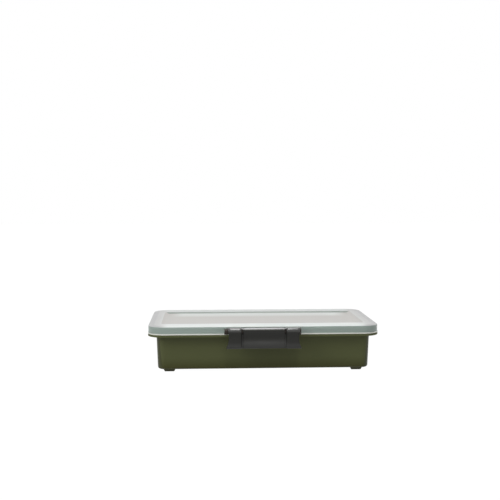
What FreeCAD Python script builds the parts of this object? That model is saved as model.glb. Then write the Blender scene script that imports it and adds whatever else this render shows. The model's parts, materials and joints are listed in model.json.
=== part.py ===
import FreeCAD, Part
import math
import os

# Soft bait box: a shallow moulded tray with five dividers, a translucent lid on three pinned
# knuckle hinges along the back, and a latch that slides and turns on a rail along the lid's front.
# Millimetres. +X runs along the box, -Y is the latch side, +Y the hinge side and +Z is up.
# The lid is shut and the box lies on its four feet. The origin is the middle of the base.

Vector = FreeCAD.Vector

# Outline of the lid and of the tray's rim, seen from above
BOX_LENGTH = 210.0
BOX_WIDTH = 115.6
CORNER_RADIUS = 14.5

# Heights above the surface that the box stands on
FOOT_HEIGHT = 2.9
RIM_HEIGHT = 35.4

# Tray
TRAY_WALL = 1.8
TRAY_FLOOR = 2.0
TRAY_CORNER = 7.0
TRAY_BOTTOM_ROUND = 2.2
TRAY_INNER_ROUND = 1.4
WALL_LEAN = 1.1
FLANGE_OVERHANG = 7.65
FLANGE_THICKNESS = 2.0
FLANGE_ROUND = 0.5
FLANGE_GROOVE_INSET = 3.0
FLANGE_GROOVE_DEPTH = 0.8
LIP_INSET = 4.2
LIP_WIDTH = 2.7
LIP_HEIGHT = 3.5
LIP_ROUND = 1.1
FOOT_LENGTH = 12.5
FOOT_DEPTH = 9.0
FOOT_TAPER = 1.9
FOOT_ROUND = 0.8
FOOT_INSET_X = 10.5
FOOT_INSET_Y = 9.0
MARK_RADIUS = 4.0
MARK_LINE = 0.5
MARK_DEPTH = 0.25
MARK_X = 41.0
MARK_Y = 39.5
MARK_OUTER_X = 55.0

# Dividers
DIVIDER_COUNT = 5
DIVIDER_PITCH = 32.2
DIVIDER_THICKNESS = 1.4
DIVIDER_TOP_GAP = 0.4
DIVIDER_GROOVE = 0.8
DIVIDER_FLOOR_GROOVE = 0.5
DIVIDER_SIDE_CLEARANCE = 0.1
DIVIDER_END_CLEARANCE = 0.15
DIVIDER_CORNER = 0.8

# Lid
LID_HEIGHT = 7.3
LID_WALL = 1.6
LID_SEAT_GAP = 0.1
LID_TOP_ROUND = 0.4
LID_CORNER_INNER = 12.5
CROWN_RISE = 0.4
CROWN_WIDTH = 4.6
BEAD_HEIGHT = 1.3
BEAD_PROUD = 0.35
PANEL_DEPTH = 1.6
PANEL_END_TOP = 11.8
PANEL_END_BOTTOM = 17.6
PANEL_SIDE_TOP = 19.0
PANEL_SIDE_BOTTOM = 20.2
PANEL_CORNER_TOP = 5.0
PANEL_CORNER_BOTTOM = 3.0

# Hinges
HINGE_INSET = 36.0
HINGE_OUT = 3.6
EAR_SPACING = 25.0
EAR_THICKNESS = 2.0
EAR_RADIUS = 3.0
EAR_ROOT = 2.4
KNUCKLE_RADIUS = 2.5
KNUCKLE_GAP = 0.4
KNUCKLE_WEB = 2.2
PIN_RADIUS = 1.2
PIN_TIGHT = 0.02
PIN_RUNNING = 0.08
PIN_PROUD = 0.4

# Rail on the lid's front and the sleeve that slides on it
RAIL_LENGTH = 60.4
RAIL_OUT = 4.9
RAIL_DROP = 3.4
RAIL_RADIUS = 1.9
RAIL_WEB = 1.4
SLIDING_GAP = 0.1
WEB_GAP = 0.3
SLEEVE_WALL = 0.6
SLEEVE_COLLAR = 0.6
SLEEVE_COLLAR_THICKNESS = 0.8
SLEEVE_TAIL = 2.0

# Latch
LATCH_LENGTH = 67.5
LATCH_CENTRE_X = -1.0
LATCH_ABOVE_LID = 0.2
LATCH_HEIGHT = 18.4
LATCH_WALL = 1.2
LATCH_BARREL_WALL = 1.0
LATCH_FLIP = 90.0
LATCH_TOP_ROUND = 2.0
LATCH_BOTTOM_ROUND = 1.7
LATCH_FLARE_HEIGHT = 2.2
LATCH_WAIST_HEIGHT = 10.2
LATCH_LEDGE_HEIGHT = 1.4
LATCH_CHEEK = 2.6
LATCH_CHEEK_BACK = 2.5
LATCH_END_HOLLOW = 2.0
LATCH_END_HOLLOW_HEIGHT = 12.0
GRIP_OUT = 10.4
GRIP_WAIST = 0.5
GRIP_FLARE = 0.5
GRIP_SHOULDER = 1.3
THUMB_LENGTH = 36.8
THUMB_OUT = 7.9
THUMB_WAIST = 0.9
THUMB_FLARE = 1.7
GROOVE_WIDTH = 1.4
GROOVE_DEPTH = 0.4
WINDOW_HEIGHT = 4.2

# Catch on the tray and the hook in the latch that slides under it
CATCH_LENGTH = 20.0
CATCH_CENTRE_X = -21.4
CATCH_OUT = 6.7
CATCH_LEVEL = 1.2
CATCH_DROP = 5.9
CATCH_TIP = 2.0
CATCH_BEAK = 2.2
CATCH_BOW = 0.8
CATCH_LEDGE_GAP = 0.6
HOOK_GRIP = 2.2
HOOK_SIDE_GAP = 0.6
HOOK_TOP_GAP = 0.3

# Sizes worked out from the ones above
HINGE_SPACING = BOX_LENGTH / 2 - HINGE_INSET
FLOOR_TOP = FOOT_HEIGHT + TRAY_FLOOR
LID_TOP = RIM_HEIGHT + LID_HEIGHT
CROWN_TOP = LID_TOP + CROWN_RISE
LATCH_TOP = LID_TOP + LATCH_ABOVE_LID
LATCH_BOTTOM = LATCH_TOP - LATCH_HEIGHT
RAIL_Z = LID_TOP - RAIL_DROP
HINGE_Y = BOX_WIDTH / 2 + HINGE_OUT
SLEEVE_INNER = RAIL_RADIUS + SLIDING_GAP
SLEEVE_OUTER = SLEEVE_INNER + SLEEVE_WALL
LATCH_BORE = SLEEVE_OUTER + SLIDING_GAP
BARREL_RADIUS = LATCH_BORE + LATCH_BARREL_WALL
CATCH_UNDER = RIM_HEIGHT - CATCH_DROP - CATCH_TIP
LATCH_LEDGE_OUT = CATCH_OUT + CATCH_LEDGE_GAP
CATCH_RIGHT = CATCH_CENTRE_X + CATCH_LENGTH / 2
HOOK_HALF = LATCH_CENTRE_X - CATCH_RIGHT - HOOK_SIDE_GAP
FRONT_REACH = GRIP_OUT + GRIP_FLARE
BACK_REACH = HINGE_OUT + EAR_RADIUS
OUTLINE_Y = (FRONT_REACH - BACK_REACH) / 2


def rounded_wire(length, width, radius, z):
    """Rectangle with round corners about the outline's middle, at height z."""
    far_x = length / 2 - radius
    far_y = width / 2 - radius
    middles = [(far_x, far_y), (-far_x, far_y), (-far_x, -far_y), (far_x, -far_y)]
    arcs = []
    for turn, (x, y) in enumerate(middles):
        arcs.append(Part.makeCircle(radius, Vector(x, y, z), Vector(0, 0, 1), 90 * turn, 90 * turn + 90))
    edges = []
    for arc, following in zip(arcs, arcs[1:] + arcs[:1]):
        edges.append(arc)
        edges.append(Part.makeLine(arc.valueAt(arc.LastParameter), following.valueAt(following.FirstParameter)))
    return Part.Wire(edges)


def inset_slab(inset, radius, bottom, top):
    """Flat slab of the box's outline, drawn in by inset."""
    wire = rounded_wire(BOX_LENGTH - 2 * inset, BOX_WIDTH - 2 * inset, radius, bottom)
    return Part.Face(wire).extrude(Vector(0, 0, top - bottom))


def tray_wire(inset, z):
    """Outline of the tray's leaning walls at height z, drawn in by inset."""
    lean = WALL_LEAN * (RIM_HEIGHT - z) / (RIM_HEIGHT - FOOT_HEIGHT)
    side = FLANGE_OVERHANG + inset + lean
    return rounded_wire(BOX_LENGTH - 2 * side, BOX_WIDTH - 2 * side, TRAY_CORNER - inset, z)


def tray_space(inset, bottom, top):
    """Solid between two heights whose sides lean with the tray's walls."""
    return Part.makeLoft([tray_wire(inset, bottom), tray_wire(inset, top)], True, True)


def edges_at(shape, z):
    """Edges of a shape that lie flat at height z."""
    level = 1e-4
    found = []
    for edge in shape.Edges:
        box = edge.BoundBox
        if abs(box.ZMin - z) < level and abs(box.ZMax - z) < level:
            found.append(edge)
    return found


def beam(points, x0, x1):
    """Prism along X whose section is a loop of straight runs through (y, z) points."""
    loop = [Vector(x0, y, z) for y, z in points]
    face = Part.Face(Part.makePolygon(loop + loop[:1]))
    return face.extrude(Vector(x1 - x0, 0, 0))


def rod(radius, y, z, x0, x1):
    """Round bar along X."""
    return Part.makeCylinder(radius, x1 - x0, Vector(x0, y, z), Vector(1, 0, 0))


def front(out):
    """Y of a point that stands out from the rim's front edge."""
    return -BOX_WIDTH / 2 - out


def front_points(points):
    """Turn (distance out, height) pairs into (y, z) pairs."""
    return [(front(out), z) for out, z in points]


def round_the_rail(angle, radius):
    """Point about the rail's axis as (distance out, height): 0 degrees is towards the lid, 90 is up."""
    turn = math.radians(angle)
    return RAIL_OUT - radius * math.cos(turn), RAIL_Z + radius * math.sin(turn)


def bow_radius(height, half):
    """Radius of the arc that rises by height over half its chord."""
    return (height ** 2 + half ** 2) / (2 * height)


def hinge_places():
    """X of the three hinges."""
    return {"left": -HINGE_SPACING, "middle": 0.0, "right": HINGE_SPACING}


def ear_places(hinge_x):
    """X range of the two ears of one hinge."""
    ranges = []
    for side in (-1, 1):
        middle = hinge_x + side * EAR_SPACING / 2
        ranges.append((middle - EAR_THICKNESS / 2, middle + EAR_THICKNESS / 2))
    return ranges


def divider_places():
    """X of each divider's middle."""
    first = -DIVIDER_PITCH * (DIVIDER_COUNT - 1) / 2
    return [first + DIVIDER_PITCH * number for number in range(DIVIDER_COUNT)]


def make_foot(x, y):
    """Tapered foot, its long side along X."""
    top = FOOT_HEIGHT + TRAY_FLOOR / 2
    wires = []
    for z, taper in ((0, FOOT_TAPER), (top, 0)):
        half_x = FOOT_LENGTH / 2 - taper
        half_y = FOOT_DEPTH / 2 - taper
        corners = [(-half_x, -half_y), (half_x, -half_y), (half_x, half_y), (-half_x, half_y)]
        loop = [Vector(x + dx, y + dy, z) for dx, dy in corners]
        wires.append(Part.makePolygon(loop + loop[:1]))
    foot = Part.makeLoft(wires, True, True)
    sides = [edge for edge in foot.Edges if edge.BoundBox.ZLength > FOOT_HEIGHT]
    return foot.makeFillet(FOOT_ROUND, sides)


def make_feet():
    """Four feet, set in from the corners of the base."""
    side = FLANGE_OVERHANG + WALL_LEAN
    far_x = BOX_LENGTH / 2 - side - FOOT_INSET_X
    far_y = BOX_WIDTH / 2 - side - FOOT_INSET_Y
    return [make_foot(sx * far_x, sy * far_y) for sx in (-1, 1) for sy in (-1, 1)]


def make_flange():
    """Flat rim with a shallow groove outside a raised round lip."""
    low = RIM_HEIGHT - FLANGE_THICKNESS
    plate = inset_slab(0, CORNER_RADIUS, low, RIM_HEIGHT)
    plate = plate.makeFillet(FLANGE_ROUND, edges_at(plate, low))
    lip_top = RIM_HEIGHT + LIP_HEIGHT
    groove_low = RIM_HEIGHT - FLANGE_GROOVE_DEPTH
    groove = inset_slab(FLANGE_GROOVE_INSET, CORNER_RADIUS - FLANGE_GROOVE_INSET, groove_low, RIM_HEIGHT)
    groove = groove.cut(inset_slab(LIP_INSET, CORNER_RADIUS - LIP_INSET, groove_low, RIM_HEIGHT))
    lip = inset_slab(LIP_INSET, CORNER_RADIUS - LIP_INSET, RIM_HEIGHT, lip_top)
    inner = LIP_INSET + LIP_WIDTH
    lip = lip.cut(inset_slab(inner, TRAY_CORNER, RIM_HEIGHT, lip_top))
    lip = lip.makeFillet(LIP_ROUND, edges_at(lip, lip_top))
    return plate.cut(groove).fuse(lip)


def make_ear(x0, x1):
    """Hinge ear on the tray's rim, with its foot under the rim."""
    edge = BOX_WIDTH / 2
    low = RIM_HEIGHT - FLANGE_THICKNESS - EAR_ROOT
    root = [(edge - EAR_ROOT, low + EAR_ROOT), (edge - EAR_ROOT, RIM_HEIGHT), (HINGE_Y, RIM_HEIGHT),
            (HINGE_Y, RIM_HEIGHT - EAR_RADIUS), (edge, low)]
    return beam(root, x0, x1).fuse(rod(EAR_RADIUS, HINGE_Y, RIM_HEIGHT, x0, x1))


def make_catch():
    """Lip that droops from the rim and ends in a beak with a flat underside."""
    shoulder = RIM_HEIGHT - FLANGE_THICKNESS
    tip = RIM_HEIGHT - CATCH_DROP
    points = [(-LIP_INSET, RIM_HEIGHT), (CATCH_LEVEL, RIM_HEIGHT), (CATCH_OUT, tip),
              (CATCH_OUT, CATCH_UNDER), (CATCH_OUT - CATCH_BEAK, CATCH_UNDER),
              (CATCH_OUT - CATCH_BEAK, CATCH_UNDER + CATCH_BEAK), (0, shoulder), (-LIP_INSET, shoulder)]
    half = CATCH_LENGTH / 2
    catch = beam(front_points(points), CATCH_CENTRE_X - half, CATCH_CENTRE_X + half)
    radius = bow_radius(CATCH_BOW, half)
    return catch.common(Part.makeCylinder(radius, LID_TOP, Vector(CATCH_CENTRE_X, front(CATCH_OUT - radius), 0)))


def make_marks():
    """Round marks that the mould's ejector pins leave on the floor."""
    places = [(sx * MARK_X, sy * MARK_Y) for sx in (-1, 1) for sy in (-1, 1)]
    places += [(sx * MARK_OUTER_X, 0) for sx in (-1, 1)]
    low = FLOOR_TOP - MARK_DEPTH
    rings = []
    for x, y in places:
        disc = Part.makeCylinder(MARK_RADIUS, TRAY_FLOOR, Vector(x, y, low))
        rings.append(disc.cut(Part.makeCylinder(MARK_RADIUS - MARK_LINE, TRAY_FLOOR, Vector(x, y, low))))
    return rings


def divider_slot(thickness, depth, bottom, top):
    """Slabs across the tray, one for each divider, that reach into the walls by depth."""
    slots = []
    for x in divider_places():
        slab = Part.makeBox(thickness, BOX_WIDTH, top - bottom, Vector(x - thickness / 2, -BOX_WIDTH / 2, bottom))
        slots.append(slab.common(tray_space(TRAY_WALL - depth, bottom, top)))
    return slots


def make_tray():
    """Drafted tub with rim, lip, feet, hinge ears, catch and divider grooves."""
    tub = tray_space(0, FOOT_HEIGHT, RIM_HEIGHT)
    tub = tub.makeFillet(TRAY_BOTTOM_ROUND, edges_at(tub, FOOT_HEIGHT))
    ears = []
    for hinge_x in hinge_places().values():
        ears += [make_ear(x0, x1) for x0, x1 in ear_places(hinge_x)]
    tray = tub.fuse([make_flange(), make_catch()] + make_feet() + ears)
    inside = tray_space(TRAY_WALL, FLOOR_TOP, RIM_HEIGHT)
    inside = inside.makeFillet(TRAY_INNER_ROUND, edges_at(inside, FLOOR_TOP))
    thickness = DIVIDER_THICKNESS + 2 * DIVIDER_SIDE_CLEARANCE
    slots = divider_slot(thickness, DIVIDER_GROOVE, FLOOR_TOP - DIVIDER_FLOOR_GROOVE, RIM_HEIGHT)
    pin_holes = []
    for hinge_x in hinge_places().values():
        pin_holes.append(rod(PIN_RADIUS + PIN_TIGHT, HINGE_Y, RIM_HEIGHT, hinge_x - EAR_SPACING, hinge_x + EAR_SPACING))
    tray = tray.cut([inside] + slots + pin_holes + make_marks())
    return tray.removeSplitter()


def make_dividers():
    """Thin plates that stand in grooves in the walls and floor, named from the left."""
    top = RIM_HEIGHT - DIVIDER_TOP_GAP
    depth = DIVIDER_GROOVE - DIVIDER_END_CLEARANCE
    plates = divider_slot(DIVIDER_THICKNESS, depth, FLOOR_TOP - DIVIDER_FLOOR_GROOVE, top)
    dividers = {}
    for number, plate in enumerate(plates, 1):
        corners = []
        for edge in edges_at(plate, top):
            if edge.BoundBox.XLength > DIVIDER_THICKNESS / 2:
                corners.append(edge)
        dividers["divider_%d" % number] = plate.makeFillet(DIVIDER_CORNER, corners)
    return dividers


def panel_sink(grow, lower):
    """Space of the sunk panel: a short steep step on the long sides and a longer ramp at the ends."""
    top = CROWN_TOP - lower
    bottom = top - PANEL_DEPTH
    wires = []
    for z, end, side, corner in ((bottom, PANEL_END_BOTTOM, PANEL_SIDE_BOTTOM, PANEL_CORNER_BOTTOM),
                                 (top, PANEL_END_TOP, PANEL_SIDE_TOP, PANEL_CORNER_TOP)):
        length = BOX_LENGTH - 2 * end + 2 * grow
        width = BOX_WIDTH - 2 * side + 2 * grow
        wires.append(rounded_wire(length, width, corner + grow, z))
    return Part.makeLoft(wires, True, True)


def inset_wire(inset, z):
    """The box's outline, drawn in by inset, at height z."""
    return rounded_wire(BOX_LENGTH - 2 * inset, BOX_WIDTH - 2 * inset, CORNER_RADIUS - inset, z)


def make_crown():
    """Sloped border that rises from the top of the lid's skirt to the flat land round the panel."""
    wires = [inset_wire(BEAD_PROUD, LID_TOP), inset_wire(BEAD_PROUD + CROWN_WIDTH, CROWN_TOP)]
    return Part.makeLoft(wires, True, True)


def make_lid_shell():
    """Shallow cover with a sunk top panel and a bead round its bottom edge."""
    low = RIM_HEIGHT + LID_SEAT_GAP
    roof = LID_TOP - LID_WALL
    shell = inset_slab(BEAD_PROUD, CORNER_RADIUS - BEAD_PROUD, low, LID_TOP)
    shell = shell.fuse(make_crown()).removeSplitter()
    shell = shell.makeFillet(LID_TOP_ROUND, edges_at(shell, LID_TOP))
    bead = inset_slab(0, CORNER_RADIUS, low, low + BEAD_HEIGHT)
    bead = bead.makeFillet(BEAD_PROUD, edges_at(bead, low + BEAD_HEIGHT))
    hollow = inset_slab(BEAD_PROUD + LID_WALL, LID_CORNER_INNER, low, roof)
    hollow = hollow.cut(panel_sink(LID_WALL, LID_WALL))
    return shell.fuse(bead).cut([panel_sink(0, 0), hollow])


def make_knuckle(hinge_x):
    """Barrel between two ears, joined to the lid's back wall."""
    half = EAR_SPACING / 2 - EAR_THICKNESS / 2 - KNUCKLE_GAP
    low = RIM_HEIGHT + LID_SEAT_GAP
    edge = BOX_WIDTH / 2 - LID_WALL / 2 - BEAD_PROUD
    web = [(edge, low), (HINGE_Y, low), (HINGE_Y, low + KNUCKLE_WEB), (edge, low + KNUCKLE_WEB)]
    barrel = rod(KNUCKLE_RADIUS, HINGE_Y, RIM_HEIGHT, hinge_x - half, hinge_x + half)
    return beam(web, hinge_x - half, hinge_x + half).fuse(barrel)


def make_rail():
    """Round bar on a web along the lid's front."""
    half = RAIL_LENGTH / 2
    back = -BEAD_PROUD - LID_WALL / 2
    low = RAIL_Z - RAIL_WEB / 2
    high = RAIL_Z + RAIL_WEB / 2
    web = [(back, low), (RAIL_OUT, low), (RAIL_OUT, high), (back, high)]
    return rod(RAIL_RADIUS, front(RAIL_OUT), RAIL_Z, -half, half).fuse(beam(front_points(web), -half, half))


def make_lid():
    """Lid with its three hinge knuckles and the rail for the latch."""
    knuckles = [make_knuckle(x) for x in hinge_places().values()]
    holes = []
    for hinge_x in hinge_places().values():
        holes.append(rod(PIN_RADIUS + PIN_RUNNING, HINGE_Y, RIM_HEIGHT, hinge_x - EAR_SPACING, hinge_x + EAR_SPACING))
    return make_lid_shell().fuse(knuckles + [make_rail()]).cut(holes).removeSplitter()


def make_hinge_pin(hinge_x):
    """Steel pin, tight in the two ears and free in the knuckle."""
    half = EAR_SPACING / 2 + EAR_THICKNESS / 2 + PIN_PROUD
    return rod(PIN_RADIUS, HINGE_Y, RIM_HEIGHT, hinge_x - half, hinge_x + half)


def wedge(start, end, reach, x0, x1):
    """Sector about the rail's axis between two angles, as a cutter."""
    steps = 6
    points = [(RAIL_OUT, RAIL_Z)]
    for step in range(steps + 1):
        points.append(round_the_rail(start + (end - start) * step / steps, reach))
    return beam(front_points(points), x0, x1)


def web_angle(radius):
    """Half angle that the rail's web and its gap take up at a radius."""
    return math.degrees(math.asin((RAIL_WEB / 2 + WEB_GAP) / radius))


def make_sleeve():
    """Open tube that slides on the rail, with a collar at each end and a tail on the left."""
    half = LATCH_LENGTH / 2
    collar_start = half - LATCH_END_HOLLOW + SLEEVE_COLLAR
    collar_end = collar_start + SLEEVE_COLLAR_THICKNESS
    left = LATCH_CENTRE_X - collar_end - SLEEVE_TAIL
    right = LATCH_CENTRE_X + collar_end
    y = front(RAIL_OUT)
    collar_radius = LATCH_BORE + SLEEVE_COLLAR
    body = rod(SLEEVE_OUTER, y, RAIL_Z, left, right)
    left_collar = rod(collar_radius, y, RAIL_Z, LATCH_CENTRE_X - collar_end, LATCH_CENTRE_X - collar_start)
    right_collar = rod(collar_radius, y, RAIL_Z, LATCH_CENTRE_X + collar_start, right)
    opening = web_angle(SLEEVE_INNER)
    gap = wedge(-opening, opening, BARREL_RADIUS * 2, left, right)
    return body.fuse([left_collar, right_collar]).cut([rod(SLEEVE_INNER, y, RAIL_Z, left, right), gap])


def latch_front(out, waist, flare, x):
    """Front outline of the latch, from its top down to its bottom, as edges."""
    top_z = LATCH_TOP - LATCH_TOP_ROUND
    waist_z = LATCH_BOTTOM + LATCH_WAIST_HEIGHT
    flare_z = LATCH_BOTTOM + LATCH_FLARE_HEIGHT
    diagonal = math.sqrt(0.5)

    def at(distance, z):
        return Vector(x, front(distance), z)

    corner = at(out - LATCH_TOP_ROUND * (1 - diagonal), LATCH_TOP - LATCH_TOP_ROUND * (1 - diagonal))
    toe = at(out + flare - LATCH_BOTTOM_ROUND * (1 - diagonal), LATCH_BOTTOM + LATCH_FLARE_HEIGHT * (1 - diagonal))
    return [
        Part.makeLine(at(RAIL_OUT, LATCH_TOP), at(out - LATCH_TOP_ROUND, LATCH_TOP)),
        Part.Arc(at(out - LATCH_TOP_ROUND, LATCH_TOP), corner, at(out, top_z)).toShape(),
        Part.Arc(at(out, top_z), at(out - waist, waist_z), at(out + flare, flare_z)).toShape(),
        Part.Arc(at(out + flare, flare_z), toe, at(out + flare - LATCH_BOTTOM_ROUND, LATCH_BOTTOM)).toShape(),
    ]


def latch_wire(out, waist, flare, back, x):
    """Section of the latch at x: a curved front, and a back that runs through (out, z) points."""
    edges = latch_front(out, waist, flare, x)
    ends = [(out + flare - LATCH_BOTTOM_ROUND, LATCH_BOTTOM)] + back + [(RAIL_OUT, LATCH_TOP)]
    for (out0, z0), (out1, z1) in zip(ends, ends[1:]):
        edges.append(Part.makeLine(Vector(x, front(out0), z0), Vector(x, front(out1), z1)))
    return Part.Wire(edges)


def shell_back(out, waist, flare, wall):
    """Back of a hollow section: a ledge along the bottom, a wall behind the front and a solid top."""
    ledge_z = LATCH_BOTTOM + LATCH_LEDGE_HEIGHT
    shoulder_z = RAIL_Z - LATCH_BORE
    inner = out - waist - wall
    return [(LATCH_LEDGE_OUT, LATCH_BOTTOM), (LATCH_LEDGE_OUT, ledge_z), (out + flare - wall, ledge_z),
            (inner, LATCH_BOTTOM + LATCH_WAIST_HEIGHT), (inner, shoulder_z), (RAIL_OUT, shoulder_z)]


def latch_shell(out, waist, flare, wall, x0, x1):
    """Hollow length of latch between two X."""
    wire = latch_wire(out, waist, flare, shell_back(out, waist, flare, wall), x0)
    return Part.Face(wire).extrude(Vector(x1 - x0, 0, 0))


def latch_grip(inner, end, side):
    """Proud end of the latch, rounded over where it meets the groove."""
    wires = []
    steps = 3
    for step in range(steps + 1):
        turn = math.radians(90 * step / steps)
        x = inner + side * GRIP_SHOULDER * (1 - math.cos(turn))
        out = GRIP_OUT - GRIP_SHOULDER * (1 - math.sin(turn))
        wires.append(latch_wire(out, GRIP_WAIST, GRIP_FLARE, shell_back(out, GRIP_WAIST, GRIP_FLARE, LATCH_WALL), x))
    shoulder = Part.makeLoft(wires, True, True)
    low, high = sorted((inner + side * GRIP_SHOULDER, end))
    return [shoulder, latch_shell(GRIP_OUT, GRIP_WAIST, GRIP_FLARE, LATCH_WALL, low, high)]


def latch_cheek(x0, x1):
    """Closed end of the latch."""
    back_z = LATCH_BOTTOM + LATCH_WAIST_HEIGHT
    back = [(CATCH_OUT - HOOK_GRIP, LATCH_BOTTOM), (LATCH_CHEEK_BACK, back_z), (LATCH_CHEEK_BACK, RAIL_Z)]
    return Part.Face(latch_wire(GRIP_OUT, GRIP_WAIST, GRIP_FLARE, back, x0)).extrude(Vector(x1 - x0, 0, 0))


def end_hollow(side):
    """Round cutter that draws in one end of the latch at its waist."""
    radius = bow_radius(LATCH_END_HOLLOW, LATCH_END_HOLLOW_HEIGHT)
    x = LATCH_CENTRE_X + side * (LATCH_LENGTH / 2 + radius - LATCH_END_HOLLOW)
    z = LATCH_BOTTOM + LATCH_END_HOLLOW_HEIGHT
    return Part.makeCylinder(radius, BOX_WIDTH / 2, Vector(x, front(BOX_WIDTH / 4), z), Vector(0, 1, 0))


def make_hook():
    """Ledge behind the latch's front that slides under the catch's beak."""
    top = CATCH_UNDER - HOOK_TOP_GAP
    root = THUMB_OUT + THUMB_FLARE - LATCH_WALL
    points = [(CATCH_OUT - HOOK_GRIP, LATCH_BOTTOM), (root, LATCH_BOTTOM), (root, top), (CATCH_OUT - HOOK_GRIP, top)]
    return beam(front_points(points), LATCH_CENTRE_X - HOOK_HALF, LATCH_CENTRE_X + HOOK_HALF)


def make_latch():
    """Latch with two proud grips, a hollowed middle, slots beside it and a split bore for the sleeve."""
    left = LATCH_CENTRE_X - LATCH_LENGTH / 2
    right = LATCH_CENTRE_X + LATCH_LENGTH / 2
    pieces = [latch_cheek(left, left + LATCH_CHEEK), latch_cheek(right - LATCH_CHEEK, right)]
    half = THUMB_LENGTH / 2
    low = LATCH_CENTRE_X - half
    high = LATCH_CENTRE_X + half
    pieces.append(latch_shell(THUMB_OUT, THUMB_WAIST, THUMB_FLARE, LATCH_WALL, low, high))
    windows = []
    for side, end in ((-1, left), (1, right)):
        inner = LATCH_CENTRE_X + side * half
        outer = inner + side * GROOVE_WIDTH
        low, high = sorted((inner, outer))
        thin = LATCH_WALL - GROOVE_DEPTH
        pieces.append(latch_shell(THUMB_OUT - GROOVE_DEPTH, THUMB_WAIST, THUMB_FLARE, thin, low, high))
        window = [(RAIL_OUT, RAIL_Z - WINDOW_HEIGHT / 2), (GRIP_OUT, RAIL_Z - WINDOW_HEIGHT / 2),
                  (GRIP_OUT, RAIL_Z + WINDOW_HEIGHT / 2), (RAIL_OUT, RAIL_Z + WINDOW_HEIGHT / 2)]
        windows.append(beam(front_points(window), low, high))
        pieces += latch_grip(outer, end, side)
    y = front(RAIL_OUT)
    barrel = rod(BARREL_RADIUS, y, RAIL_Z, left, right)
    opening = web_angle(LATCH_BORE)
    gap = wedge(-opening, opening + LATCH_FLIP, LATCH_HEIGHT, left, right)
    bore = rod(LATCH_BORE, y, RAIL_Z, left, right)
    latch = barrel.fuse(pieces + [make_hook()])
    return latch.cut([bore, gap, end_hollow(-1), end_hollow(1)] + windows).removeSplitter()


def make_nodes():
    """Every piece of the box by name."""
    nodes = {"tray": make_tray(), "lid": make_lid(), "latch_sleeve": make_sleeve(), "latch": make_latch()}
    nodes.update(make_dividers())
    for name, hinge_x in hinge_places().items():
        nodes["hinge_pin_" + name] = make_hinge_pin(hinge_x)
    return nodes


def write_nodes():
    """Move each piece so that the base's middle is the origin, and write it as STEP."""
    os.makedirs("parts", exist_ok=True)
    for name, shape in make_nodes().items():
        shape.translate(Vector(0, OUTLINE_Y, 0))
        box = shape.optimalBoundingBox(False)
        print("%-18s solids %d valid %s volume %9.1f  x %7.2f %7.2f  y %7.2f %7.2f  z %6.2f %6.2f" % (
            name, len(shape.Solids), shape.isValid(), shape.Volume,
            box.XMin, box.XMax, box.YMin, box.YMax, box.ZMin, box.ZMax))
        shape.exportStep("parts/" + name + ".step")


write_nodes()
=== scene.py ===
# %% [markdown]
# # The looks of a soft bait box
# The box is a shallow olive tray with five dividers, a milky lid on three pinned hinges and a dark
# latch that slides and turns on a rail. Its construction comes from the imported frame, in metres, with
# +X along the box, -Y on the latch side and +Z up. This script adds the camera, the light and the
# finishes, and makes finer meshes where the eye needs them.

import json
import math

import bmesh
import bpy
import numpy as np
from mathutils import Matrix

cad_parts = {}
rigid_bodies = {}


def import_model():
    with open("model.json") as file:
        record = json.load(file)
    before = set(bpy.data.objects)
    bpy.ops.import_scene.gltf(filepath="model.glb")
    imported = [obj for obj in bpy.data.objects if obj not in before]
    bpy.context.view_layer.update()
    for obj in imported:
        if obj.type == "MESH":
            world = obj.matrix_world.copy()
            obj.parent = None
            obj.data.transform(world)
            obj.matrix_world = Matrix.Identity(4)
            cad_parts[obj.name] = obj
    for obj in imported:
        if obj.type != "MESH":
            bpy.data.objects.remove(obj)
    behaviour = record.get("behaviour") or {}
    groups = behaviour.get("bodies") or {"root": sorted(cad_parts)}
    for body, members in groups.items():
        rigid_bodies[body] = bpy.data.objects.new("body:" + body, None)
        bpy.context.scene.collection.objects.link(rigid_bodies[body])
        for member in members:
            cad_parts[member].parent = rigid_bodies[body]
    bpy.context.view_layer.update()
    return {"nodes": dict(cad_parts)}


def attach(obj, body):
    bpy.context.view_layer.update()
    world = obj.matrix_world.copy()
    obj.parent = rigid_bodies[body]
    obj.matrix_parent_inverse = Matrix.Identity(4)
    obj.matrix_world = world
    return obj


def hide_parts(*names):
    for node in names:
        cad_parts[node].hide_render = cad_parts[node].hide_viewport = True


for leftover in list(bpy.data.objects):
    bpy.data.objects.remove(leftover)
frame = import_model()
nodes = frame["nodes"]
MM = 0.001

# %% [markdown]
# ## Camera
# The picture was taken from a little above the table, almost square to the long side, with a lens
# long enough to keep the box nearly free of perspective. The camera is placed by a position, a
# heading and a dip, because those three can be read off the way the box's edges run.

# %% Place the camera
CAMERA_PLACE = (-0.0518, -0.7924, 0.1587)
CAMERA_HEADING = 3.01
CAMERA_DIP = 3.65
CAMERA_LENS = 59.78

camera_data = bpy.data.cameras.new("camera")
camera_data.lens = CAMERA_LENS
camera = bpy.data.objects.new("camera", camera_data)
camera.location = CAMERA_PLACE
camera.rotation_euler = (math.radians(90 - CAMERA_DIP), 0, -math.radians(CAMERA_HEADING))
bpy.context.scene.collection.objects.link(camera)
bpy.context.scene.camera = camera
bpy.context.scene.view_settings.view_transform = "Standard"
print("camera distance in mm", round(math.dist(CAMERA_PLACE, (0, 0, 0)) / MM))

# %% [markdown]
# ## Shader arithmetic
# A finish is easier to read as a formula than as a heap of nodes. This class holds one socket of a
# node tree. Python's + - * / on it add Math nodes, and its node method adds any other node, so a
# pattern such as 0.4 + 0.1 * grain can be written as it is meant.

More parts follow.
